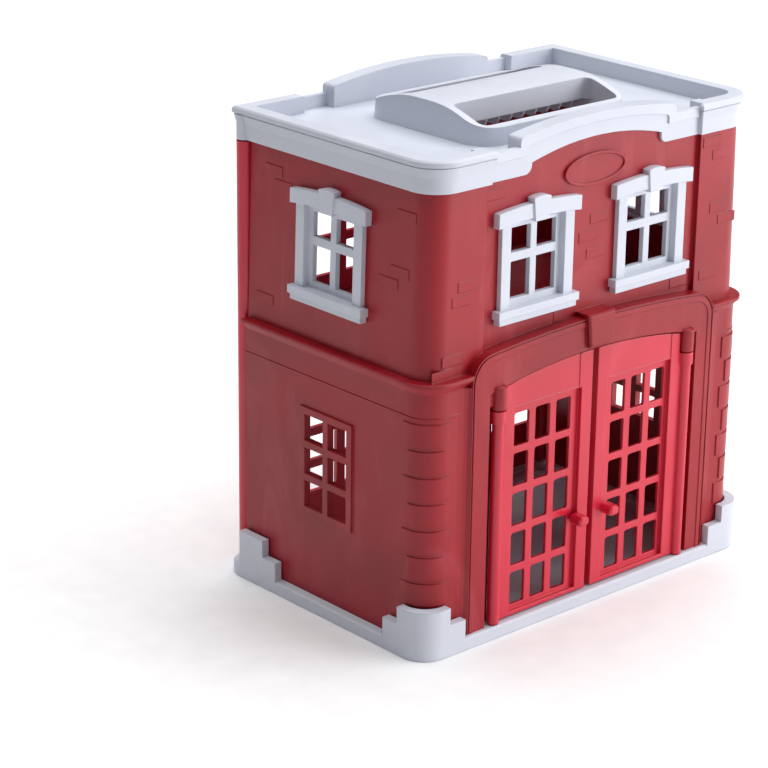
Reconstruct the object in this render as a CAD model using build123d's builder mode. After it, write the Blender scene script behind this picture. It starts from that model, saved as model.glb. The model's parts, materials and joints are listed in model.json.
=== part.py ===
"""Toy fire station: a carry-along play case with a garage, an upper room and a roof handle.

Millimetres. The origin is the centre of the base's underside, +Z is up, the garage doors face -Y
and +X is to the right of someone who looks at them. Every other place follows from the sizes below.
"""
from build123d import *
from math import cos, pi
import os

# Plan of the building
frame_width = 184.0
frame_margin = 29.0
wall_depth = 150.0
wall_thickness = 3.0
corner_radius = 14.0
upper_corner_radius = 13.0
step_inset = 12.0
recess_depth = 2.5
ground_spread = 2.5
upper_setback = 1.7
wall_draft = 2.7
fit_gap = 0.15
overrun = 5.0

# Heights of the storeys
plate_thickness = 4.0
sill_height = 7.0
frame_crown = 165.4
belt_drop = 19.4
window_lift = 15.6
eaves_lift = 69.0
eaves_overlap = 3.6
panel_thickness = 1.8
panel_overlap = 1.5
flange_depth = 13.0

# Belt course
belt_height = 6.0
belt_lip = 2.2
belt_reach = 3.3
belt_cove = 2.2
belt_bevel = 0.6

# Garage opening and its arched frame
leg_width = 13.0
band_height = 17.9
opening_rise = 8.5
frame_rise = 5.5
frame_reach = 3.0
frame_corner = 15.0
frame_lip = 0.6
frame_groove = 0.9
frame_groove_depth = 0.8
frame_border = 4.4
frame_sink = 0.4
cove_profile = [(7.0, 0.0), (3.6, 0.5), (1.4, 1.3), (0.4, 2.6)]
keystone_top_width = 20.6
keystone_foot_width = 16.6
keystone_height = 18.6
keystone_rise = 2.3
keystone_reach = 2.6
keystone_bevel = 1.0

# Quoins, the corner stones of the ground storey
quoin_count = 7
quoin_drop = 18.0
quoin_pitch = 14.75
quoin_height = 12.4
quoin_long = 17.2
quoin_short = 13.3
quoin_reach = 0.65

# Bricks that stand out of the upper walls here and there, from the room floor up
brick_length = 14.0
brick_height = 5.6
brick_reach = 0.3
course_lift = 2.5
course_height = 0.8
pier_bricks = [(-92, 47.5), (-96, 40), (-102, 9.5), (-109, 2.8), (89, 92.5), (97, 84.5), (97, 54.5), (104, 47),
               (91, 17)]
recess_bricks = [(5, 65), (-3, 56), (3, 46), (-72, 91), (70, 16), (-20, 16)]
side_bricks = [(-48, 86), (-40, 78.8), (52, 54), (44, 46.8), (-54, 14), (56, 84)]

# Front doors
door_gap = 1.0
door_centre_gap = 4.4
door_thickness = 4.2
door_face_step = 1.3
door_foot_gap = 1.0
hinge_inset = 7.1
front_barrel_radius = 3.3
collar_radius = 4.2
collar_height = 7.0
cap_radius = 4.2
cap_length = 13.1
cap_bevel = 1.2
cap_drop = 17.8
hinge_air = 0.8
jamb_thickness = 2.0
web_thickness = 3.0
web_lift = 2.0
pin_radius = 2.2
pin_length = 5.0
pin_gap = 0.08
front_pane_columns = 3
front_pane_rows = 5
front_pane_width = 10.9
front_pane_height = 18.8
front_pane_cut = 0.9
front_muntin = 4.6
front_rail = 4.0
front_pane_drop = 24.8
front_pane_inset = 13.5
front_stile = 7.8
field_margin = 2.5
field_head = 4.3
field_sink = 2.4
lintel_gap = 0.8
lintel_inset = 1.8
lintel_sink = 0.4
peg_width = 7.4
peg_height = 5.6
peg_length = 8.0
peg_round = 1.6
peg_level = 52.0
peg_inset = 9.6

# Windows of the upper storey
window_inset = 37.0
window_pane_width = 14.0
window_upper_pane = 13.4
window_lower_pane = 20.2
window_muntin = 4.4
window_rail = 4.8
sash_bar = 3.4
sash_thickness = 3.0
sash_sink = 3.6
casing_bar = 6.6
casing_reach = 3.0
lintel_foot = 44.3
lintel_overhang = 3.6
lintel_height = 7.9
lintel_rise = 1.9
lintel_reach = 4.4
window_key_width = 12.2
window_key_height = 12.2
window_key_rise = 1.0
window_key_reach = 5.4
window_key_taper = 1.3
window_sill_overhang = 3.0
window_sill_height = 4.4
window_sill_reach = 5.6
apron_inset = 1.2
apron_height = 3.3
apron_reach = 4.6
plug_depth = 5.0
plug_wall = 1.6

# Lights moulded in the ground storey's sides
side_light_columns = 2
side_light_rows = 3
side_light_size = 15.0
side_light_bar = 4.0
side_light_level = 58.0
side_light_border = 4.0
side_light_reach = 1.2

# Cartouche over the windows
badge_width = 46.0
badge_height = 18.0
badge_drop = 5.5
badge_reach = 1.4
badge_rim = 1.8
badge_sink = 0.8

# Roof
fascia_foot_spread = 1.6
fascia_body_spread = 2.2
fascia_top_spread = 3.3
fascia_height = 13.4
cap_groove = 0.6
groove_spread = 2.9
cap_spread = 4.0
cap_height = 3.4
cap_bevel_width = 1.1
roof_corner = 14.4
rim_width = 9.0
deck_drop = 9.2
deck_thickness = 2.6
seat_width = 2.0
wing_drop = 2.0
wing_rim = 3.4
crest_spread = 3.2
crest_band = 5.3
parapet_inset = 22.0
parapet_depth = 9.5
parapet_crown = 8.0
parapet_rise = 5.0
parapet_round = 2.6
arch_inset = 9.5
arch_step = 6.0
arch_crown = 12.6
arch_round = 4.4

# Handle on the roof
handle_length = 114.0
handle_depth = 94.0
handle_corner = 16.0
handle_draft = 4.0
handle_low = 9.6
handle_high = 17.8
handle_flatness = 1.5
handle_wall = 6.0
pocket_corner = 5.0
grip_width = 32.0
grip_skin = 2.6
grip_face_level = 5.0
grip_ceiling = 14.4
grip_rib_count = 10
grip_rib_thickness = 1.2
grip_rib_drop = 5.0
grip_rib_corner = 4.0
grip_rib_cut = 1.2

# Rear doors
rear_barrel_radius = 4.5
rear_door_thickness = 3.5
rear_door_gap = 1.2
rear_centre_gap = 1.6
header_height = 8.0
rear_pane_columns = 3
rear_pane_width = 25.0
rear_muntin = 6.0
rear_rail = 5.0
rear_top_rows = 3
rear_low_rows = 4
rear_top_pane = 17.6
rear_low_pane = 14.4
rear_top_drop = 24.0
rear_low_drop = 38.0
rear_free_stile = 20.0
latch_slot_width = 20.0
latch_slot_height = 22.0
latch_slot_drop = 29.0
latch_slot_inset = 10.0
latch_slot_corner = 5.0
latch_tab_width = 9.0
latch_tab_height = 9.0
rear_field_margin = 3.0
rear_field_sink = 0.8

# Base
base_spread = 5.5
base_corner = 15.0
base_bevel = 1.0
block_gap = 0.8
block_length = 20.0
step_height = 18.0
step_length = 31.0
curb_width = 15.0
lug_length = 16.0
lug_thickness = 3.0
lug_height = 8.0
lug_spacing = 70.0

# Second floor and the fire pole
room_floor_thickness = 2.6
floor_lip_height = 12.0
ledge_length = 16.0
ledge_depth = 6.0
ledge_height = 5.0
ledge_spacing = 80.0
pole_radius = 5.0
pole_x = -72.0
pole_y = 16.0
pole_hole_radius = 23.0
collar_wall = 2.4
pedestal_radius = 8.2
pedestal_height = 63.0
flange_radius = 13.0
flange_height = 2.4
socket_wall = 2.4
socket_height = 6.0

# Plan lines that follow from the sizes
frame_half = frame_width / 2
opening_half = frame_half - leg_width
ground_half = frame_half + frame_margin
upper_half = ground_half - upper_setback
step_x = frame_half - step_inset
window_centre = step_x - window_inset
parapet_half_width = step_x - parapet_inset
arch_half_width = parapet_half_width - arch_inset
pier_face = -wall_depth / 2
rear_face = wall_depth / 2
recess_face = pier_face + recess_depth
ground_face = pier_face - ground_spread
frame_face = ground_face - frame_reach
base_half = ground_half + base_spread
base_front = ground_face - base_spread
base_rear = rear_face + ground_spread + base_spread

# Levels that follow from the sizes
belt_level = frame_crown - belt_drop
room_floor_level = belt_level + belt_height
window_level = frame_crown + window_lift
eaves_level = window_level + eaves_lift
badge_level = eaves_level - badge_drop
wall_top = eaves_level + eaves_overlap
opening_crown = frame_crown - band_height
quoin_first_top = opening_crown - quoin_drop
quoin_foot = quoin_first_top - (quoin_count - 1) * quoin_pitch - quoin_height
block_height = quoin_foot - block_gap
course_level = quoin_first_top + course_lift
cap_level = eaves_level + fascia_height + cap_groove
rim_level = cap_level + cap_height
wing_level = rim_level - wing_drop
deck_level = rim_level - deck_drop
deck_underside = deck_level - deck_thickness
header_level = eaves_level - header_height

# Hinge lines of the doors
door_face = frame_face + door_face_step
front_axis_x = opening_half - hinge_inset
front_axis_y = door_face
rear_axis_x = ground_half - rear_barrel_radius
rear_axis_y = rear_face - rear_door_thickness / 2
door_foot = sill_height + door_foot_gap
side_wall_end = rear_axis_y - rear_barrel_radius - hinge_air
cap_foot = opening_crown - cap_drop
barrel_top = cap_foot - hinge_air
collar_foot = barrel_top - collar_height
rear_barrel_top = eaves_level - hinge_air

# Parts of a window
cut_depth = 2 * overrun + pier_face - frame_face + recess_depth + wall_thickness
sash_width = 2 * (window_pane_width + sash_bar) + window_muntin
sash_height = window_upper_pane + window_rail + window_lower_pane + 2 * sash_bar
plug_width = sash_width + 2 * plug_wall
plug_height = sash_height + 2 * plug_wall
pane_top = sash_bar + window_lower_pane + window_rail + window_upper_pane
lean = wall_draft / (wall_top - belt_level)


def facing(y):
    """The upright plane at depth y: its x is the building's X and its y is height."""
    return Plane(origin=(0, y, 0), x_dir=(1, 0, 0), z_dir=(0, -1, 0))


def side_plane(x, side):
    """The upright plane of a side wall at half-width x, seen from outside."""
    return Plane(origin=(side * x, 0, 0), x_dir=(0, side, 0), z_dir=(side, 0, 0))


def half_at(level):
    """Half-width of the upper storey, whose sides lean inwards, at a level."""
    return upper_half - lean * (level - belt_level)


def leaning_plane(level, side):
    """The plane of an upper side wall, seen from outside, with its origin at a level."""
    return Plane(origin=(side * half_at(level), 0, level), x_dir=(0, side, 0), z_dir=(side, 0, lean))


def draw_plan(half, spread, radius=0, recessed=True, mode=Mode.ADD):
    """Plan of the walls with a given half-width, grown to front and rear by spread, in the active sketch."""
    front = pier_face - spread
    points = [(-half, rear_face + spread), (-half, front)]
    if recessed:
        inner = step_x - spread
        back = front + recess_depth
        points += [(-inner, front), (-inner, back), (inner, back), (inner, front)]
    points += [(half, front), (half, rear_face + spread)]
    with BuildSketch() as plan:
        with BuildLine():
            Polyline(*points, close=True)
        make_face()
        if radius:
            corners = plan.vertices().filter_by(lambda v: abs(abs(v.X) - half) < fit_gap and v.Y < 0)
            fillet(corners, radius=radius)
    add(plan.sketch, mode=mode)


def draw_ground(spread, mode=Mode.ADD):
    """Plan of the ground storey, grown all round by spread, in the active sketch."""
    draw_plan(ground_half + spread, ground_spread + spread, corner_radius + spread, recessed=False, mode=mode)


def draw_roof(spread, mode=Mode.ADD):
    """Plan of the roof, grown from the walls under it by spread, in the active sketch."""
    draw_plan(half_at(eaves_level) + spread, spread, roof_corner + spread, mode=mode)


def draw_arch(half, foot, crown, rise, corner=0, mode=Mode.ADD):
    """Upright-sided outline with a segmental arched top, in the active sketch."""
    shoulder = crown - rise
    with BuildSketch() as arch:
        with BuildLine():
            Polyline((-half, shoulder), (-half, foot), (half, foot), (half, shoulder))
            ThreePointArc((half, shoulder), (0, crown), (-half, shoulder))
        make_face()
        if corner:
            fillet(arch.vertices().group_by(Axis.Y)[-1], radius=corner)
    add(arch.sketch, mode=mode)


def draw_eaves(half, foot, level, spread=0, mode=Mode.ADD):
    """Outline under the eaves: level wings, a step up and a segmental arch, in the active sketch."""
    riser = arch_half_width + spread
    spring = level + arch_step
    with BuildSketch() as eaves:
        with BuildLine():
            Polyline((-riser, spring), (-riser, level), (-half, level), (-half, foot), (half, foot),
                     (half, level), (riser, level), (riser, spring))
            ThreePointArc((riser, spring), (0, level + arch_crown), (-riser, spring))
        make_face()
        inner = eaves.vertices().filter_by(lambda v: abs(abs(v.X) - riser) < fit_gap
                                           and abs(v.Y - level) < fit_gap)
        fillet(inner, radius=arch_round)
    add(eaves.sketch, mode=mode)


def draw_base(inset=0, mode=Mode.ADD):
    """Plan of the base, shrunk by inset, in the active sketch."""
    with Locations((0, (base_front + base_rear) / 2)):
        RectangleRounded(2 * (base_half - inset), base_rear - base_front - 2 * inset, base_corner - inset / 2,
                         mode=mode)


def draw_panes(left, top, columns, rows, width, height, bar, rail, mode=Mode.ADD):
    """A grid of panes, in the active sketch, from its top left corner."""
    for row in range(rows):
        for column in range(columns):
            x = left + width / 2 + column * (width + bar)
            y = top - height / 2 - row * (height + rail)
            with Locations((x, y)):
                Rectangle(width, height, mode=mode)


def draw_circles(places, radius, mode=Mode.ADD):
    """Circles at several places, in the active sketch."""
    with Locations(*places):
        Circle(radius, mode=mode)


front_hinges = [(-front_axis_x, front_axis_y), (front_axis_x, front_axis_y)]
rear_hinges = [(-rear_axis_x, rear_axis_y), (rear_axis_x, rear_axis_y)]

# Base: a floor plate with a raised curb, and stepped stone blocks that wrap the walls' corners
with BuildPart() as base:
    with BuildSketch():
        draw_base()
    extrude(amount=sill_height)
    with BuildSketch(Plane.XY.offset(plate_thickness)):
        draw_base(curb_width)
    extrude(amount=sill_height, mode=Mode.SUBTRACT)
    chamfer(base.faces().sort_by(Axis.Z)[-1].outer_wire().edges(), length=base_bevel)
    block_wall = base_spread - quoin_reach - fit_gap
    for height, length in ((block_height, block_length), (step_height, step_length)):
        with BuildSketch(Plane.XY.offset(plate_thickness)):
            with Locations((-base_half, base_front), (base_half, base_front)):
                Rectangle(2 * length, 2 * length)
            with Locations((-base_half, side_wall_end - length / 2), (base_half, side_wall_end - length / 2)):
                Rectangle(2 * block_wall, length)
            draw_base(mode=Mode.INTERSECT)
            draw_base(block_wall, mode=Mode.SUBTRACT)
        extrude(amount=height - plate_thickness)
    with BuildSketch(Plane.XY.offset(plate_thickness)):
        lug_x = ground_half - wall_thickness - fit_gap - lug_thickness / 2
        with GridLocations(2 * lug_x, lug_spacing, 2, 2):
            Rectangle(lug_thickness, lug_length)
    extrude(amount=sill_height + lug_height - plate_thickness)
    with Locations(*[(x, y, sill_height) for x, y in front_hinges + rear_hinges]):
        Hole(pin_radius + pin_gap, depth=pin_length)

# The arched frame of the garage, with its grooved edge, its field and its keystone
with BuildPart() as arched_frame:
    with BuildSketch(facing(recess_face + fit_gap)):
        draw_arch(frame_half, sill_height, frame_crown, frame_rise, frame_corner)
    extrude(amount=recess_face + fit_gap - frame_face)
    with BuildSketch(facing(frame_face + frame_groove_depth)):
        draw_arch(frame_half - frame_lip, 0, frame_crown - frame_lip, frame_rise, frame_corner - frame_lip)
        groove_inset = frame_lip + frame_groove
        draw_arch(frame_half - groove_inset, 0, frame_crown - groove_inset, frame_rise,
                  frame_corner - groove_inset, mode=Mode.SUBTRACT)
    extrude(amount=overrun, mode=Mode.SUBTRACT)
    with BuildSketch(facing(frame_face + frame_sink)):
        draw_arch(frame_half - frame_border, 0, frame_crown - frame_border, frame_rise,
                  frame_corner - frame_border)
    extrude(amount=overrun, mode=Mode.SUBTRACT)
    # Coves that lead from the walls up to the frame's legs
    with BuildSketch(Plane.XY.offset(sill_height)):
        for side in (-1, 1):
            outline = [(side * (frame_half + out), ground_face - up) for out, up in cove_profile]
            with BuildSketch() as cove:
                with BuildLine():
                    Polyline(*outline, (side * (frame_half - fit_gap), frame_face + frame_sink),
                             (side * (frame_half - fit_gap), ground_face + fit_gap),
                             (outline[0][0], ground_face + fit_gap), close=True)
                make_face()
            add(cove.sketch)
    extrude(amount=belt_level - sill_height)
    with BuildSketch(facing(recess_face)):
        key_top = frame_crown + keystone_rise
        key_foot = key_top - keystone_height
        with BuildLine():
            Polyline((-keystone_foot_width / 2, key_foot), (keystone_foot_width / 2, key_foot),
                     (keystone_top_width / 2, key_top), (-keystone_top_width / 2, key_top), close=True)
        make_face()
    extrude(amount=recess_face - frame_face + keystone_reach)
    key_rim = arched_frame.faces().sort_by(Axis.Y)[0].edges()
    chamfer(key_rim, length=keystone_bevel)

# Belt course between the storeys: a lip over a sloping underside
with BuildPart() as belt:
    with BuildSketch(Plane.XY.offset(belt_level)):
        draw_ground(0)
    with BuildSketch(Plane.XY.offset(room_floor_level - belt_lip)):
        draw_ground(belt_cove)
    loft(ruled=True)
    with BuildSketch(Plane.XY.offset(room_floor_level - belt_lip)):
        draw_ground(belt_reach)
    extrude(amount=belt_lip)
    chamfer(belt.edges().group_by(Axis.Z)[-1], length=belt_bevel)
    with BuildSketch(Plane.XY.offset(belt_level)):
        draw_plan(half_at(room_floor_level) - wall_thickness, -wall_thickness,
                  upper_corner_radius - wall_thickness)
    extrude(amount=belt_height, mode=Mode.SUBTRACT)
    with BuildSketch(facing(ground_face)):
        draw_arch(frame_half, sill_height, frame_crown, frame_rise, frame_corner)
    extrude(amount=overrun, mode=Mode.SUBTRACT)

# Hinge caps of the front doors
with BuildPart() as hinge_caps:
    with BuildSketch(Plane.XY.offset(cap_foot)):
        draw_circles(front_hinges, cap_radius)
    extrude(amount=cap_length)
    chamfer(hinge_caps.edges().group_by(Axis.Z)[-1], length=cap_bevel)



def make_upper_block(inset):
    """The upper storey as a block with leaning sides and rounded front corners, shrunk by inset."""
    foot_half = half_at(belt_level) - inset
    top_half = half_at(wall_top) - inset
    with BuildPart() as block:
        with BuildSketch(facing(pier_face + inset)):
            with BuildLine():
                Polyline((-foot_half, belt_level), (foot_half, belt_level), (top_half, wall_top),
                         (-top_half, wall_top), close=True)
            make_face()
        extrude(amount=pier_face - rear_face + 2 * inset)
        corners = block.edges().filter_by(lambda e: e.center().Y < 0 and abs(e.center().X) > step_x)
        fillet(corners, radius=upper_corner_radius - inset)
        with BuildSketch(facing(pier_face + inset)):
            with Locations((0, belt_level)):
                Rectangle(2 * (step_x + inset), wall_top - belt_level, align=(Align.CENTER, Align.MIN))
        extrude(amount=-recess_depth, mode=Mode.SUBTRACT)
    return block.part


# Wall shell: both storeys in one moulding, open at the rear
with BuildPart() as wall_shell:
    add(make_upper_block(0))
    add(make_upper_block(wall_thickness), mode=Mode.SUBTRACT)
    with BuildSketch(Plane.XY.offset(sill_height)):
        draw_ground(0)
        draw_ground(-wall_thickness, mode=Mode.SUBTRACT)
    extrude(amount=belt_level - sill_height)
    add(belt.part)
    with BuildSketch(facing(rear_face + wall_depth)):
        Rectangle(3 * ground_half, wall_top, align=(Align.CENTER, Align.MIN))
    extrude(amount=rear_face + wall_depth - side_wall_end, mode=Mode.SUBTRACT)
    add(arched_frame.part)
    # Arched top of the front wall, which fills the step in the eaves
    with BuildSketch(facing(recess_face + panel_thickness)):
        draw_eaves(step_x, header_level, wall_top, panel_overlap)
    extrude(amount=panel_thickness)
    # Rear flange under the roof, with the arched header strip
    with BuildSketch(Plane.XY.offset(eaves_level)):
        with Locations((0, rear_face)):
            Rectangle(2 * half_at(wall_top), flange_depth, align=(Align.CENTER, Align.MAX))
        draw_circles(rear_hinges, rear_barrel_radius + hinge_air, mode=Mode.SUBTRACT)
        with Locations((0, rear_face)):
            Rectangle(2 * (arch_half_width + panel_overlap), 2 * (rear_door_thickness + rear_door_gap),
                      mode=Mode.SUBTRACT)
    extrude(amount=eaves_overlap)
    header_half = rear_axis_x - rear_barrel_radius - hinge_air - fit_gap
    with BuildSketch(facing(rear_face)):
        draw_eaves(header_half, header_level - header_height, wall_top, panel_overlap)
        draw_eaves(ground_half, 0, header_level, mode=Mode.SUBTRACT)
    extrude(amount=panel_thickness)
    # Quoins and the course line above them, on the front and round both sides
    for row in range(quoin_count):
        quoin = quoin_long if row % 2 == 0 else quoin_short
        top = quoin_first_top - row * quoin_pitch
        with BuildSketch(Plane.XY.offset(top - quoin_height)):
            draw_ground(quoin_reach)
            draw_ground(-quoin_reach, mode=Mode.SUBTRACT)
            with Locations((-ground_half, ground_face), (ground_half, ground_face)):
                Rectangle(2 * quoin, 2 * quoin, mode=Mode.INTERSECT)
        extrude(amount=quoin_height)
    with BuildSketch(Plane.XY.offset(course_level)):
        draw_ground(brick_reach)
        draw_ground(-brick_reach, mode=Mode.SUBTRACT)
        with Locations((0, ground_face)):
            Rectangle(frame_width, wall_depth, mode=Mode.SUBTRACT)
        with Locations((0, rear_face)):
            Rectangle(3 * ground_half, 2 * (rear_face - side_wall_end), mode=Mode.SUBTRACT)
    extrude(amount=course_height)
    # Bricks of the upper storey
    bricks = {recess_face: recess_bricks, pier_face: pier_bricks}
    for face, places in bricks.items():
        with BuildSketch(facing(face + fit_gap)):
            with Locations(*[(x, room_floor_level + up) for x, up in places]):
                Rectangle(brick_length, brick_height)
        extrude(amount=brick_reach + fit_gap)
    for side in (-1, 1):
        with BuildSketch(leaning_plane(room_floor_level, side).offset(-fit_gap)):
            with Locations(*side_bricks):
                Rectangle(brick_length, brick_height)
        extrude(amount=brick_reach + fit_gap)
    # Bare cartouche over the windows: an oval with a raised rim
    with BuildSketch(facing(recess_face + fit_gap)):
        with Locations((0, badge_level)):
            Ellipse(badge_width / 2, badge_height / 2)
    extrude(amount=badge_reach + fit_gap)
    with BuildSketch(facing(recess_face - badge_reach + badge_sink)):
        with Locations((0, badge_level)):
            Ellipse(badge_width / 2 - badge_rim, badge_height / 2 - badge_rim)
    extrude(amount=overrun, mode=Mode.SUBTRACT)
    # Ledges for the room floor
    ledge_level = room_floor_level - room_floor_thickness - ledge_height
    ledge_half = ground_half - wall_thickness - ledge_depth
    ledge_front = recess_face + wall_thickness + ledge_depth
    for side in (-1, 1):
        with BuildSketch(Plane.XY.offset(ledge_level)):
            ledge_x = side * (ledge_half + upper_half) / 2
            with Locations((ledge_x, -ledge_spacing / 2), (ledge_x, ledge_spacing / 2)):
                Rectangle(upper_half - ledge_half, ledge_length)
            with Locations((side * (frame_half + ledge_depth), ledge_front)):
                Rectangle(ledge_length, ledge_front - pier_face, align=(Align.CENTER, Align.MAX))
        extrude(amount=ledge_height)
    # Garage opening
    with BuildSketch(facing(recess_face + overrun)):
        draw_arch(opening_half, sill_height, opening_crown, opening_rise)
    extrude(amount=cut_depth, mode=Mode.SUBTRACT)
    # Hinge caps at the top corners of the opening, each with a web to the leg
    for side in (-1, 1):
        with Locations((side * (front_axis_x + opening_half) / 2, front_axis_y + web_thickness / 2,
                        cap_foot + web_lift)):
            Box(hinge_inset + web_thickness, web_thickness, cap_length - cap_bevel - web_lift,
                align=(Align.CENTER, Align.CENTER, Align.MIN))
    add(hinge_caps.part)
    with BuildSketch(Plane.XY.offset(cap_foot)):
        draw_circles(front_hinges, pin_radius + pin_gap)
    extrude(amount=pin_length, mode=Mode.SUBTRACT)
    # Jambs that close the gap behind the front doors' barrels
    jamb_face = door_face + door_thickness + hinge_air
    for side in (-1, 1):
        with BuildSketch(Plane.XY.offset(sill_height)):
            with BuildLine():
                Polyline((side * front_axis_x, jamb_face), (side * opening_half, jamb_face),
                         (side * opening_half, ground_face + fit_gap),
                         (side * (opening_half + wall_thickness), ground_face + fit_gap),
                         (side * (opening_half + wall_thickness), jamb_face + jamb_thickness),
                         (side * front_axis_x, jamb_face + jamb_thickness), close=True)
            make_face()
        extrude(amount=opening_crown - opening_rise - sill_height)
    # Holes for the four windows of the upper storey
    hole_width = plug_width + 2 * fit_gap
    hole_height = plug_height + 2 * fit_gap
    hole_centre = plug_height / 2 - plug_wall
    with BuildSketch(facing(recess_face + overrun)):
        with Locations(*[(side * window_centre, window_level + hole_centre) for side in (-1, 1)]):
            Rectangle(hole_width, hole_height)
    extrude(amount=cut_depth, mode=Mode.SUBTRACT)
    for side in (-1, 1):
        with BuildSketch(leaning_plane(window_level, side).offset(-overrun)):
            with Locations((0, hole_centre)):
                Rectangle(hole_width, hole_height)
        extrude(amount=cut_depth, mode=Mode.SUBTRACT)
    # Lights of the ground storey's sides, in a raised border
    lights_width = side_light_columns * (side_light_size + side_light_bar) - side_light_bar
    lights_height = side_light_rows * (side_light_size + side_light_bar) - side_light_bar
    for side in (-1, 1):
        with BuildSketch(side_plane(ground_half - fit_gap, side)):
            with Locations((0, side_light_level + lights_height / 2)):
                Rectangle(lights_width + 2 * side_light_border, lights_height + 2 * side_light_border)
        extrude(amount=side_light_reach + fit_gap)
        with BuildSketch(side_plane(ground_half - overrun, side)):
            draw_panes(-lights_width / 2, side_light_level + lights_height, side_light_columns, side_light_rows,
                       side_light_size, side_light_size, side_light_bar, side_light_bar)
        extrude(amount=cut_depth, mode=Mode.SUBTRACT)

# Handle hump: an ogee in section, with drafted sides and two hand pockets
with BuildPart() as handle:
    with BuildSketch(Plane.YZ.offset(-handle_length / 2)):
        ogee = [(share * handle_depth / 2,
                 deck_level + handle_low
                 + (handle_high - handle_low) * (1 + cos(pi * abs(share) ** handle_flatness)) / 2)
                for share in (-1, -0.75, -0.5, -0.25, 0, 0.25, 0.5, 0.75, 1)]
        with BuildLine():
            hump = Spline(*ogee, tangents=[(1, 0), (1, 0)])
            Polyline(hump @ 1, (handle_depth / 2, deck_underside), (-handle_depth / 2, deck_underside),
                     hump @ 0)
        make_face()
    extrude(amount=handle_length)
    with BuildSketch(Plane.XY.offset(deck_underside)):
        RectangleRounded(handle_length, handle_depth, handle_corner)
    extrude(amount=handle_high + overrun, taper=handle_draft, mode=Mode.INTERSECT)
    grip_face_foot = deck_level + grip_face_level
    pocket_length = handle_length - 2 * handle_wall
    pocket_depth = handle_depth - 2 * handle_wall
    with BuildSketch(Plane.XY.offset(deck_underside)):
        RectangleRounded(pocket_length, pocket_depth, pocket_corner)
    extrude(amount=grip_face_foot - deck_underside, mode=Mode.SUBTRACT)
    with BuildSketch(Plane.XY.offset(deck_underside)):
        with Locations((0, -(pocket_depth + grip_width) / 4), (0, (pocket_depth + grip_width) / 4)):
            RectangleRounded(pocket_length, (pocket_depth - grip_width) / 2, pocket_corner)
    extrude(amount=handle_high + overrun, mode=Mode.SUBTRACT)
    # Hollow of the grip, and the ribs that cross it
    with BuildSketch(Plane.XY.offset(grip_face_foot)):
        Rectangle(pocket_length, grip_width - 2 * grip_skin)
    extrude(amount=deck_level + grip_ceiling - grip_face_foot, mode=Mode.SUBTRACT)
    rib_pitch = pocket_length / (grip_rib_count + 1)
    rib_top = deck_level + grip_ceiling + grip_skin / 2
    rib_foot = grip_face_foot - grip_rib_drop
    rib_half = (grip_width - grip_skin) / 2
    for rib in range(grip_rib_count):
        rib_x = (rib - (grip_rib_count - 1) / 2) * rib_pitch
        with BuildSketch(Plane.YZ.offset(rib_x - grip_rib_thickness / 2)):
            lower = [(rib_half, rib_foot + grip_rib_corner),
                     (rib_half - grip_rib_cut, rib_foot + grip_rib_cut),
                     (rib_half - grip_rib_corner, rib_foot)]
            with BuildLine():
                Polyline((-rib_half, rib_top), (rib_half, rib_top), *lower,
                         *[(-x, y) for x, y in reversed(lower)], close=True)
            make_face()
        extrude(amount=grip_rib_thickness)


def draw_crest(drop, mode=Mode.ADD):
    """Outline of the eaves' top edge, lowered by drop: wings, risers and arch, in the active sketch."""
    riser = parapet_half_width - drop
    crown = rim_level + parapet_crown - drop
    shoulder = crown - parapet_rise
    with BuildSketch() as crest:
        with BuildLine():
            Polyline((-riser, shoulder), (-riser, wing_level - drop), (-step_x, wing_level - drop),
                     (-step_x, deck_level), (step_x, deck_level), (step_x, wing_level - drop),
                     (riser, wing_level - drop), (riser, shoulder))
            ThreePointArc((riser, shoulder), (0, crown), (-riser, shoulder))
        make_face()
        tops = crest.vertices().filter_by(lambda v: abs(v.Y - shoulder) < fit_gap)
        fillet(tops, radius=parapet_round)
    add(crest.sketch, mode=mode)


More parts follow.
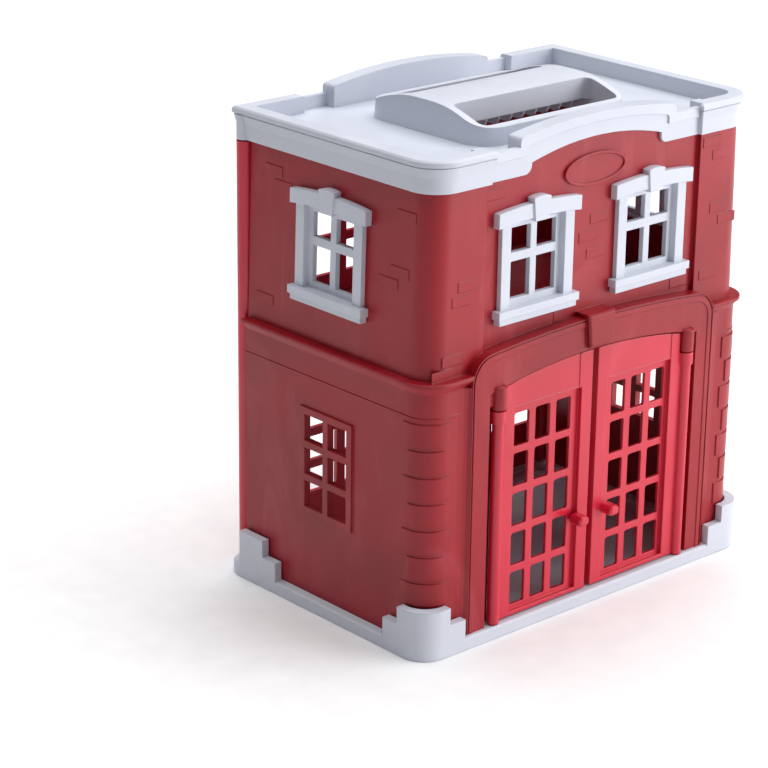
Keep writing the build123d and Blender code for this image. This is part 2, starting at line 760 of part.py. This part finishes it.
# Roof: a flared fascia with a step and an arch at the front and rear, a rimmed deck and the handle
with BuildPart() as roof:
    for foot, foot_spread, top, top_spread in (
            (eaves_level, fascia_foot_spread, deck_level, fascia_body_spread),
            (deck_level, fascia_body_spread, eaves_level + fascia_height, fascia_top_spread)):
        with BuildSketch(Plane.XY.offset(foot)):
            draw_roof(foot_spread)
        with BuildSketch(Plane.XY.offset(top)):
            draw_roof(top_spread)
        loft(ruled=True)
    with BuildSketch(Plane.XY.offset(eaves_level + fascia_height)):
        draw_roof(groove_spread)
    extrude(amount=cap_groove)
    with BuildSketch(Plane.XY.offset(cap_level)):
        draw_roof(cap_spread)
    extrude(amount=cap_height)
    chamfer(roof.faces().sort_by(Axis.Z)[-1].edges(), length=cap_bevel_width)
    with BuildSketch(Plane.XY.offset(deck_level)):
        draw_roof(cap_spread - rim_width)
    extrude(amount=overrun + deck_drop, mode=Mode.SUBTRACT)
    # Front and rear: the rim gives way to lower wings and an arched parapet with a raised band
    for plane in (facing(recess_face), Plane(origin=(0, rear_face, 0), x_dir=(-1, 0, 0), z_dir=(0, 1, 0))):
        wing_half = step_x - fascia_body_spread
        with BuildSketch(plane.offset(cap_spread)):
            with Locations((0, deck_level)):
                Rectangle(2 * wing_half, 2 * deck_drop, align=(Align.CENTER, Align.MIN))
        extrude(amount=-rim_width, mode=Mode.SUBTRACT)
        for outline_half, depth in ((step_x, wing_rim), (parapet_half_width, parapet_depth)):
            inner = plane.offset(crest_spread - depth)
            with BuildSketch(inner):
                draw_crest(crest_band)
                Rectangle(2 * outline_half, 3 * rim_level, mode=Mode.INTERSECT)
            extrude(amount=depth - crest_spread + fascia_body_spread)
            with BuildSketch(inner):
                draw_crest(0)
                draw_crest(crest_band, mode=Mode.SUBTRACT)
                Rectangle(2 * outline_half, 3 * rim_level, mode=Mode.INTERSECT)
            extrude(amount=depth)
        # Step and arch in the fascia, then the slot for the wall's arched top
        with BuildSketch(plane.offset(fit_gap)):
            draw_eaves(step_x - overrun, header_level, eaves_level)
        extrude(amount=overrun + cap_spread, mode=Mode.SUBTRACT)
        with BuildSketch(plane.offset(-panel_thickness - fit_gap)):
            draw_eaves(step_x, header_level, wall_top + fit_gap, panel_overlap + fit_gap)
        extrude(amount=panel_thickness + 2 * fit_gap, mode=Mode.SUBTRACT)
    # Underside: a lip round the walls, a seat on their top edge and a thin deck
    with BuildSketch(Plane.XY.offset(eaves_level)):
        draw_plan(half_at(eaves_level) + fit_gap, fit_gap, upper_corner_radius)
    extrude(amount=eaves_overlap, mode=Mode.SUBTRACT)
    seat = wall_thickness + seat_width
    with BuildSketch(Plane.XY.offset(wall_top)):
        draw_plan(half_at(wall_top) - seat, -seat, upper_corner_radius - seat)
    extrude(amount=deck_underside - wall_top, mode=Mode.SUBTRACT)
    # Bosses over the rear doors' hinge lines, and the socket of the fire pole
    with BuildSketch(Plane.XY.offset(eaves_level)):
        draw_circles(rear_hinges, rear_barrel_radius)
    extrude(amount=fascia_height)
    with BuildSketch(Plane.XY.offset(eaves_level)):
        draw_circles(rear_hinges, pin_radius + pin_gap)
    extrude(amount=pin_length, mode=Mode.SUBTRACT)
    with BuildSketch(Plane.XY.offset(deck_underside - socket_height)):
        with Locations((pole_x, pole_y)):
            Circle(pole_radius + fit_gap + socket_wall)
            Circle(pole_radius + fit_gap, mode=Mode.SUBTRACT)
    extrude(amount=socket_height)
    # The handle takes the place of the deck under it
    with BuildSketch(Plane.XY.offset(deck_underside)):
        RectangleRounded(pocket_length, pocket_depth, pocket_corner)
    extrude(amount=deck_thickness, mode=Mode.SUBTRACT)
    add(handle.part)

# Second floor: a plate with a lip at the rear and a skirted hole for the fire pole
with BuildPart() as second_floor:
    floor_rear = rear_face - rear_door_thickness - rear_door_gap
    with BuildSketch(Plane.XY.offset(room_floor_level - room_floor_thickness)):
        inset = wall_thickness + fit_gap
        draw_plan(half_at(room_floor_level) - inset, -inset, upper_corner_radius - inset)
        with Locations((0, floor_rear)):
            Rectangle(2 * ground_half, wall_depth, align=(Align.CENTER, Align.MIN), mode=Mode.SUBTRACT)
        draw_circles(rear_hinges, rear_barrel_radius + hinge_air, mode=Mode.SUBTRACT)
    extrude(amount=room_floor_thickness)
    with BuildSketch(Plane.XY.offset(room_floor_level - floor_lip_height)):
        with Locations((0, floor_rear)):
            Rectangle(2 * (rear_axis_x - rear_barrel_radius - hinge_air), room_floor_thickness,
                      align=(Align.CENTER, Align.MAX))
        with Locations((pole_x, pole_y)):
            Circle(pole_hole_radius + collar_wall)
    extrude(amount=floor_lip_height - room_floor_thickness)
    with BuildSketch(Plane.XY.offset(room_floor_level - overrun - floor_lip_height)):
        with Locations((pole_x, pole_y)):
            Circle(pole_hole_radius)
    extrude(amount=3 * overrun + floor_lip_height, mode=Mode.SUBTRACT)

# Fire pole, from the base to its socket under the roof
with BuildPart() as fire_pole:
    with BuildSketch(Plane.XY.offset(plate_thickness)):
        with Locations((pole_x, pole_y)):
            Circle(pole_radius)
    extrude(amount=deck_underside - plate_thickness)

# Pedestal: the thicker sleeve round the foot of the pole
with BuildPart() as pole_pedestal:
    with BuildSketch(Plane.XY.offset(plate_thickness)):
        with Locations((pole_x, pole_y)):
            Circle(flange_radius)
    extrude(amount=flange_height)
    with BuildSketch(Plane.XY.offset(plate_thickness)):
        with Locations((pole_x, pole_y)):
            Circle(pedestal_radius)
    extrude(amount=pedestal_height)
    with BuildSketch(Plane.XY.offset(plate_thickness)):
        with Locations((pole_x, pole_y)):
            Circle(pole_radius + fit_gap)
    extrude(amount=pedestal_height, mode=Mode.SUBTRACT)


def make_window(plane):
    """One upper-storey window on a wall plane whose origin is the centre of its sill's top."""
    casing_width = sash_width + 2 * casing_bar
    lintel_half = casing_width / 2 + lintel_overhang
    sash_middle = plug_height / 2 - plug_wall
    with BuildPart() as window:
        with BuildSketch(plane.offset(-plug_depth)):
            with Locations((0, sash_middle)):
                Rectangle(plug_width, plug_height)
        extrude(amount=plug_depth)
        with BuildSketch(plane):
            Rectangle(casing_width, lintel_foot + lintel_height, align=(Align.CENTER, Align.MIN))
        extrude(amount=casing_reach)
        # Sash: sunk from the front, hollow behind and open in its four panes
        with BuildSketch(plane.offset(casing_reach - sash_sink)):
            with Locations((0, sash_middle)):
                Rectangle(sash_width, sash_height)
        extrude(amount=sash_sink, mode=Mode.SUBTRACT)
        with BuildSketch(plane.offset(casing_reach - sash_sink - sash_thickness)):
            with Locations((0, sash_middle)):
                Rectangle(sash_width, sash_height)
        extrude(amount=-plug_depth, mode=Mode.SUBTRACT)
        pane_left = -window_pane_width - window_muntin / 2
        with BuildSketch(plane.offset(-plug_depth)):
            draw_panes(pane_left, pane_top, 2, 1, window_pane_width, window_upper_pane, window_muntin,
                       window_rail)
            draw_panes(pane_left, pane_top - window_upper_pane - window_rail, 2, 1, window_pane_width,
                       window_lower_pane, window_muntin, window_rail)
        extrude(amount=cut_depth, mode=Mode.SUBTRACT)
        # Lintel with its keystone
        with BuildSketch(plane):
            draw_arch(lintel_half, 0, lintel_foot + lintel_height + lintel_rise, lintel_rise)
            draw_arch(lintel_half, 0, lintel_foot + lintel_rise, lintel_rise, mode=Mode.SUBTRACT)
        extrude(amount=lintel_reach)
        with BuildSketch(plane):
            key_half = window_key_width / 2
            key_top = lintel_foot + window_key_height
            with BuildLine():
                Polyline((-key_half, key_top), (-key_half + window_key_taper, lintel_foot),
                         (key_half - window_key_taper, lintel_foot), (key_half, key_top))
                ThreePointArc((key_half, key_top), (0, key_top + window_key_rise), (-key_half, key_top))
            make_face()
        extrude(amount=window_key_reach)
        # Sill over a narrower apron
        with BuildSketch(plane):
            Rectangle(casing_width + 2 * window_sill_overhang, window_sill_height,
                      align=(Align.CENTER, Align.MAX))
        extrude(amount=window_sill_reach)
        with BuildSketch(plane):
            Rectangle(casing_width + 2 * (window_sill_overhang - apron_inset),
                      window_sill_height + apron_height, align=(Align.CENTER, Align.MAX))
        extrude(amount=apron_reach)
    return window


front_window_left = make_window(Plane(origin=(-window_centre, recess_face, window_level), x_dir=(1, 0, 0),
                                      z_dir=(0, -1, 0)))
front_window_right = make_window(Plane(origin=(window_centre, recess_face, window_level), x_dir=(1, 0, 0),
                                       z_dir=(0, -1, 0)))
side_window_left = make_window(leaning_plane(window_level, -1))
side_window_right = make_window(leaning_plane(window_level, 1))


def make_front_door(side):
    """One garage door; side is +1 for the right one."""
    free_edge = door_centre_gap / 2
    cap_side = front_axis_x - cap_radius - hinge_air
    panes_width = front_pane_columns * (front_pane_width + front_muntin) - front_muntin
    panes_height = front_pane_rows * (front_pane_height + front_rail) - front_rail
    panes_start = free_edge + front_pane_inset
    panes_end = panes_start + panes_width
    front_pane_top = opening_crown - front_pane_drop
    field_start = free_edge + front_stile
    field_end = panes_end + field_margin
    field_top = front_pane_top + field_head
    field_foot = front_pane_top - panes_height - field_margin
    with BuildPart() as door:
        with BuildSketch(facing(door_face + door_thickness)):
            draw_arch(opening_half - door_gap, door_foot, opening_crown - door_gap, opening_rise)
            with Locations((side * (free_edge + cap_side) / 2, 0)):
                Rectangle(cap_side - free_edge, 3 * frame_crown, mode=Mode.INTERSECT)
        extrude(amount=door_thickness)
        with BuildSketch(facing(door_face + door_thickness)):
            with Locations((side * (free_edge + front_axis_x) / 2, door_foot)):
                Rectangle(front_axis_x - free_edge, barrel_top - door_foot, align=(Align.CENTER, Align.MIN))
        extrude(amount=door_thickness)
        # Sunk field of the panes, and the shallow panel over it
        with BuildSketch(facing(door_face + field_sink)):
            with Locations((side * (field_start + field_end) / 2, field_foot)):
                Rectangle(field_end - field_start, field_top - field_foot, align=(Align.CENTER, Align.MIN))
        extrude(amount=overrun, mode=Mode.SUBTRACT)
        with BuildSketch(facing(door_face + lintel_sink)):
            with Locations((side * (field_start + lintel_inset + field_end) / 2, field_top + lintel_gap)):
                Rectangle(field_end - field_start - lintel_inset, opening_crown - field_top,
                          align=(Align.CENTER, Align.MIN))
        extrude(amount=overrun, mode=Mode.SUBTRACT)
        # Barrel with its collar and the two pins
        for radius, foot, top in ((front_barrel_radius, door_foot, barrel_top),
                                  (collar_radius, collar_foot, barrel_top),
                                  (pin_radius, door_foot - pin_length, barrel_top + pin_length)):
            with BuildSketch(Plane.XY.offset(foot)):
                with Locations((side * front_axis_x, front_axis_y)):
                    Circle(radius)
            extrude(amount=top - foot)
        # Panes with cut corners
        with BuildSketch(facing(door_face + door_thickness + overrun)) as panes:
            draw_panes(min(side * panes_start, side * panes_end), front_pane_top, front_pane_columns,
                       front_pane_rows, front_pane_width, front_pane_height, front_muntin, front_rail)
            chamfer(panes.vertices(), length=front_pane_cut)
        extrude(amount=cut_depth, mode=Mode.SUBTRACT)
        # Peg to pull the door by
        with BuildSketch(facing(door_face)) as peg:
            with Locations((side * (free_edge + peg_inset), peg_level)):
                Rectangle(peg_width, peg_height)
            chamfer(peg.vertices(), length=peg_round)
        extrude(amount=peg_length)
        chamfer(door.faces().sort_by(Axis.Y)[0].edges(), length=keystone_bevel)
    return door


front_door_left = make_front_door(-1)
front_door_right = make_front_door(1)


def make_rear_door(side):
    """One rear door; side is +1 for the one at +X."""
    free_edge = rear_centre_gap / 2
    middle = side * (free_edge + rear_axis_x) / 2
    free_stile = side * (free_edge + rear_free_stile)
    panes_width = rear_pane_columns * (rear_pane_width + rear_muntin) - rear_muntin
    panes_left = min(free_stile, free_stile + side * panes_width)
    rows = ((eaves_level - rear_top_drop, rear_top_rows, rear_top_pane),
            (belt_level - rear_low_drop, rear_low_rows, rear_low_pane))
    with BuildPart() as door:
        with BuildSketch(facing(rear_face)):
            draw_eaves(rear_axis_x, door_foot, header_level - rear_door_gap, -rear_door_gap)
            with Locations((middle, 0)):
                Rectangle(rear_axis_x - free_edge, 3 * wall_top, mode=Mode.INTERSECT)
        extrude(amount=rear_door_thickness)
        for field_top, row_count, pane_height in rows:
            field_height = row_count * (pane_height + rear_rail) - rear_rail
            with BuildSketch(facing(rear_face - rear_field_sink)):
                with Locations((panes_left + panes_width / 2, field_top - field_height / 2)):
                    Rectangle(panes_width + 2 * rear_field_margin, field_height + 2 * rear_field_margin)
            extrude(amount=-overrun, mode=Mode.SUBTRACT)
            with BuildSketch(facing(rear_face + overrun)):
                draw_panes(panes_left, field_top, rear_pane_columns, row_count, rear_pane_width, pane_height,
                           rear_muntin, rear_rail)
            extrude(amount=2 * overrun + rear_door_thickness, mode=Mode.SUBTRACT)
        # Finger slot with its latch tab
        slot_x = side * (free_edge + latch_slot_inset + latch_slot_width / 2)
        slot_foot = belt_level - latch_slot_drop
        with BuildSketch(facing(rear_face + overrun)):
            with Locations((slot_x, slot_foot + latch_slot_height / 2)):
                RectangleRounded(latch_slot_width, latch_slot_height, latch_slot_corner)
            with Locations((slot_x, slot_foot + latch_slot_height)):
                Rectangle(latch_tab_width, latch_tab_height, align=(Align.CENTER, Align.MAX),
                          mode=Mode.SUBTRACT)
        extrude(amount=2 * overrun + rear_door_thickness, mode=Mode.SUBTRACT)
        # Barrel and pins
        for radius, foot, top in ((rear_barrel_radius, door_foot, rear_barrel_top),
                                  (pin_radius, door_foot - pin_length, rear_barrel_top + pin_length)):
            with BuildSketch(Plane.XY.offset(foot)):
                with Locations((side * rear_axis_x, rear_axis_y)):
                    Circle(radius)
            extrude(amount=top - foot)
        with BuildSketch(Plane.XY.offset(rear_barrel_top)):
            with Locations((side * rear_axis_x, rear_axis_y)):
                Rectangle(2 * rear_barrel_radius + 2 * hinge_air, 2 * rear_barrel_radius + 2 * hinge_air)
                Circle(pin_radius, mode=Mode.SUBTRACT)
        extrude(amount=overrun, mode=Mode.SUBTRACT)
    return door


rear_door_left = make_rear_door(-1)
rear_door_right = make_rear_door(1)

os.makedirs("parts", exist_ok=True)
pieces = {
    "base": base,
    "wall_shell": wall_shell,
    "roof": roof,
    "second_floor": second_floor,
    "fire_pole": fire_pole,
    "pole_pedestal": pole_pedestal,
    "front_window_left": front_window_left,
    "front_window_right": front_window_right,
    "side_window_left": side_window_left,
    "side_window_right": side_window_right,
    "front_door_left": front_door_left,
    "front_door_right": front_door_right,
    "rear_door_left": rear_door_left,
    "rear_door_right": rear_door_right,
}
for name, piece in pieces.items():
    piece.part.label = name
    export_step(piece.part, f"parts/{name}.step")
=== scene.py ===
"""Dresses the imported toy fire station: moulded plastic materials, a studio and the photograph's camera."""
import json
from math import cos, radians, sin

import bpy
from mathutils import Matrix, Vector

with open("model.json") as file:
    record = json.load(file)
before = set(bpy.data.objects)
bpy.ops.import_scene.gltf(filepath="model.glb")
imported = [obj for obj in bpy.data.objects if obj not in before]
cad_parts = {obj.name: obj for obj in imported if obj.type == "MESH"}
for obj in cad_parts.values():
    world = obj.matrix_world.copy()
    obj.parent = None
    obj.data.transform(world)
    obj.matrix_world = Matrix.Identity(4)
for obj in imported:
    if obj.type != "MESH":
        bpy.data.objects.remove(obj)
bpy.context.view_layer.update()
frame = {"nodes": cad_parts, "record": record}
nodes = frame["nodes"]

# The photograph's camera, in metres in the row frame; its picture is 768 pixels wide
PICTURE_WIDTH = 768
FOCAL_PIXELS = 2575.75
SENSOR_MM = 36.0
CAMERA_PLACE = Vector((-0.9507, -0.9663, 0.5973))
CAMERA_AZIMUTH = radians(-42.0)
CAMERA_ELEVATION = radians(20.04)
CAMERA_ROLL = radians(0.73)

# Skin of the plastics, in metres
SHADED_EDGE_RADIUS = 0.0007
SHADED_EDGE_SAMPLES = 6
PANEL_WAVE_DEPTH = 0.0022
PANEL_WAVE_STRENGTH = 0.16
GRAIN_DEPTH = 0.00022
GRAIN_STRENGTH = 0.10
GLOSS_DROP = 0.05
GLOSS_GAIN = 0.07

# Rounded edges of the window mouldings, in metres
WINDOW_EDGE_WIDTH = 0.0007
WINDOW_EDGE_SEGMENTS = 3
WINDOW_EDGE_ANGLE = radians(35)
WELD_DISTANCE = 1e-5

# Studio, in metres and watts
FLOOR_HALF = 2.5
FLOOR_DROP = 0.0002
AMBIENT_COLOUR = (0.96, 0.97, 1.0, 1.0)
AMBIENT_STRENGTH = 0.12
BACKDROP_COLOUR = (0.98, 0.98, 1.0, 1.0)
BACKDROP_STRENGTH = 1.0
STATION_MIDDLE = (0.0, 0.0, 0.14)
# Name, place, target, size and power of each lamp
LAMPS = (
    ("key_light", (1.3, -1.6, 0.5), STATION_MIDDLE, 1.6, 42.0),
    ("top_light", (0.7, 0.5, 3.2), (0.5, 0.5, 0.0), 4.4, 184.0),
)


def make_camera():
    """The camera at the photograph's place, turned by azimuth, elevation and roll."""
    forward = Vector((-sin(CAMERA_AZIMUTH) * cos(CAMERA_ELEVATION),
                      cos(CAMERA_AZIMUTH) * cos(CAMERA_ELEVATION),
                      -sin(CAMERA_ELEVATION)))
    level = Vector((cos(CAMERA_AZIMUTH), sin(CAMERA_AZIMUTH), 0.0))
    upward = level.cross(forward)
    right = cos(CAMERA_ROLL) * level + sin(CAMERA_ROLL) * upward
    up = -sin(CAMERA_ROLL) * level + cos(CAMERA_ROLL) * upward
    data = bpy.data.cameras.new("photo_camera")
    data.sensor_width = SENSOR_MM
    data.lens = FOCAL_PIXELS / PICTURE_WIDTH * SENSOR_MM
    camera = bpy.data.objects.new("photo_camera", data)
    turn = Matrix((right, up, -forward)).transposed().to_4x4()
    camera.matrix_world = Matrix.Translation(CAMERA_PLACE) @ turn
    bpy.context.scene.collection.objects.link(camera)
    bpy.context.scene.camera = camera


class Nodes:
    """A material's node tree, with short ways to add and join nodes."""

    def __init__(self, name):
        self.material = bpy.data.materials.new(name)
        self.material.use_nodes = True
        self.tree = self.material.node_tree
        self.tree.nodes.clear()

    def add(self, kind, settings=(), **sockets):
        """A node with its settings; a socket's value is another node's output or a plain value."""
        node = self.tree.nodes.new(kind)
        for key, value in dict(settings).items():
            setattr(node, key, value)
        for key, value in sockets.items():
            socket = node.inputs[key.replace("_", " ")]
            if isinstance(value, bpy.types.NodeSocket):
                self.tree.links.new(value, socket)
            else:
                socket.default_value = value
        return node

    def noise(self, place, scale, **sockets):
        """The value of a noise texture."""
        return self.add("ShaderNodeTexNoise", Vector=place, Scale=scale, **sockets).outputs["Fac"]

    def bump(self, height, strength, depth, normal):
        """The normal of a surface roughened by a height."""
        node = self.add("ShaderNodeBump", Strength=strength, Distance=depth, Height=height,
                        Normal=normal)
        return node.outputs["Normal"]

    def ramp(self, factor, stops):
        """A colour ramp's colour; each stop is a place and an RGB triple."""
        node = self.add("ShaderNodeValToRGB", Fac=factor)
        elements = node.color_ramp.elements
        while len(elements) < len(stops):
            elements.new(0.5)
        for element, (place, colour) in zip(elements, stops):
            element.position = place
            element.color = (*colour, 1.0)
        return node.outputs["Color"]

    def span(self, value, low, high, to_low, to_high):
        """A value taken from one range to another and held inside it."""
        node = self.add("ShaderNodeMapRange")
        self.tree.links.new(value, node.inputs["Value"])
        limits = {"From Min": low, "From Max": high, "To Min": to_low, "To Max": to_high}
        for key, number in limits.items():
            node.inputs[key].default_value = number
        return node.outputs["Result"]

    def mix(self, factor, first, second):
        """A colour mix; first is a socket and second an RGB triple."""
        node = self.add("ShaderNodeMix", {"data_type": "RGBA"})
        self.tree.links.new(factor, node.inputs[0])
        self.tree.links.new(first, node.inputs[6])
        node.inputs[7].default_value = (*second, 1.0)
        return node.outputs[2]

    def surface(self, shader):
        """Joins a shader node to the material's output."""
        output = self.add("ShaderNodeOutputMaterial")
        self.tree.links.new(shader.outputs["BSDF"], output.inputs["Surface"])
        return self.material


# Materials: recycled plastic with flow marks, fine specks, an uneven sheen and soft moulded edges
def make_plastic(name, base, pale, deep, roughness, speck, ior):
    """Moulded plastic: base colour with pale flow marks and deep patches, specks and a satin skin."""
    skin = Nodes(name)
    place = skin.add("ShaderNodeTexCoord").outputs["Object"]
    # Slow drift of the colour
    drift = skin.noise(place, 9.0, Detail=3.0, Roughness=0.5)
    colour = skin.ramp(drift, ((0.30, deep), (0.50, base), (0.72, base)))
    # Flow marks of the melt, long and upright
    stretch = skin.add("ShaderNodeMapping", Vector=place, Scale=(1.0, 1.0, 0.28)).outputs["Vector"]
    flow = skin.noise(stretch, 26.0, Detail=5.0, Roughness=0.58, Distortion=1.6)
    colour = skin.mix(skin.span(flow, 0.54, 0.74, 0.0, 0.42), colour, pale)
    # Fine specks
    grains = skin.noise(place, 1500.0, Detail=1.0)
    colour = skin.mix(skin.span(grains, 0.66, 0.78, 0.0, speck), colour, deep)
    # Uneven sheen
    patches = skin.noise(place, 38.0, Detail=4.0, Roughness=0.6)
    gloss = skin.span(patches, 0.3, 0.7, roughness - GLOSS_DROP, roughness + GLOSS_GAIN)
    # Moulded grain and a slow waviness of the panels, over rounded edges
    edge = skin.add("ShaderNodeBevel", {"samples": SHADED_EDGE_SAMPLES},
                    Radius=SHADED_EDGE_RADIUS).outputs["Normal"]
    wave = skin.noise(place, 22.0, Detail=1.0)
    wavy = skin.bump(wave, PANEL_WAVE_STRENGTH, PANEL_WAVE_DEPTH, edge)
    grain = skin.noise(place, 700.0, Detail=2.0)
    grainy = skin.bump(grain, GRAIN_STRENGTH, GRAIN_DEPTH, wavy)
    shader = skin.add("ShaderNodeBsdfPrincipled", Base_Color=colour, Roughness=gloss, Normal=grainy)
    shader.inputs["IOR"].default_value = ior
    return skin.surface(shader)


finishes = {
    "wall_red": make_plastic("wall_red_plastic", base=(0.330, 0.005, 0.014), pale=(0.46, 0.056, 0.074),
                             deep=(0.24, 0.003, 0.008), roughness=0.38, speck=0.30, ior=1.45),
    "door_red": make_plastic("door_red_plastic", base=(0.600, 0.007, 0.034), pale=(0.66, 0.038, 0.066),
                             deep=(0.51, 0.004, 0.022), roughness=0.33, speck=0.18, ior=1.58),
    "trim_white": make_plastic("trim_white_plastic", base=(0.610, 0.635, 0.715), pale=(0.66, 0.68, 0.75),
                               deep=(0.56, 0.58, 0.67), roughness=0.38, speck=0.14, ior=1.50),
}


def round_edges(piece):
    """Rounds the edges of a window moulding, whose facets are joined first."""
    weld = piece.modifiers.new("weld", "WELD")
    weld.merge_threshold = WELD_DISTANCE
    edges = piece.modifiers.new("round_edges", "BEVEL")
    edges.width = WINDOW_EDGE_WIDTH
    edges.segments = WINDOW_EDGE_SEGMENTS
    edges.limit_method = "ANGLE"
    edges.angle_limit = WINDOW_EDGE_ANGLE
    edges.harden_normals = True


for piece in frame["record"]["subparts"]:
    node = nodes[piece["node"]]
    node.data.materials.clear()
    node.data.materials.append(finishes[piece["material_slot"]])
    if "window" in piece["node"]:
        round_edges(node)


# Studio: a pale floor and backdrop, a large key light before the front and a soft top light
def make_light(name, place, target, size, watts):
    """A square lamp at a place, turned to a target."""
    data = bpy.data.lights.new(name, "AREA")
    data.shape = "SQUARE"
    data.size = size
    data.energy = watts
    light = bpy.data.objects.new(name, data)
    light.location = place
    light.rotation_euler = (Vector(target) - Vector(place)).to_track_quat("-Z", "Y").to_euler()
    bpy.context.scene.collection.objects.link(light)


def make_floor():
    """A square sheet of pale paper, a little below the part's underside."""
    mesh = bpy.data.meshes.new("studio_floor")
    corners = [(-FLOOR_HALF, -FLOOR_HALF, 0), (FLOOR_HALF, -FLOOR_HALF, 0),
               (FLOOR_HALF, FLOOR_HALF, 0), (-FLOOR_HALF, FLOOR_HALF, 0)]
    mesh.from_pydata(corners, [], [(0, 1, 2, 3)])
    floor = bpy.data.objects.new("studio_floor", mesh)
    floor.location.z = -FLOOR_DROP
    bpy.context.scene.collection.objects.link(floor)
    paper = Nodes("studio_paper")
    place = paper.add("ShaderNodeTexCoord").outputs["Object"]
    fibre = paper.noise(place, 60.0, Detail=4.0)
    tone = paper.ramp(fibre, ((0.3, (0.90, 0.90, 0.91)), (0.7, (0.94, 0.94, 0.94))))
    shader = paper.add("ShaderNodeBsdfPrincipled", Base_Color=tone, Roughness=0.9)
    mesh.materials.append(paper.surface(shader))


def make_world():
    """A weak ambient light; the backdrop seen above the floor is paler than the light it gives."""
    world = bpy.data.worlds.new("studio_world")
    world.use_nodes = True
    tree = world.node_tree
    ambient = tree.nodes["Background"]
    ambient.inputs["Color"].default_value = AMBIENT_COLOUR
    ambient.inputs["Strength"].default_value = AMBIENT_STRENGTH
    backdrop = tree.nodes.new("ShaderNodeBackground")
    backdrop.inputs["Color"].default_value = BACKDROP_COLOUR
    backdrop.inputs["Strength"].default_value = BACKDROP_STRENGTH
    seen = tree.nodes.new("ShaderNodeLightPath").outputs["Is Camera Ray"]
    either = tree.nodes.new("ShaderNodeMixShader")
    joins = (
        (seen, either.inputs[0]),
        (ambient.outputs[0], either.inputs[1]),
        (backdrop.outputs[0], either.inputs[2]),
        (either.outputs[0], tree.nodes["World Output"].inputs["Surface"]),
    )
    for source, target in joins:
        tree.links.new(source, target)
    bpy.context.scene.world = world
    bpy.context.scene.view_settings.view_transform = "Standard"


make_camera()
make_floor()
make_world()
for lamp in LAMPS:
    make_light(*lamp)
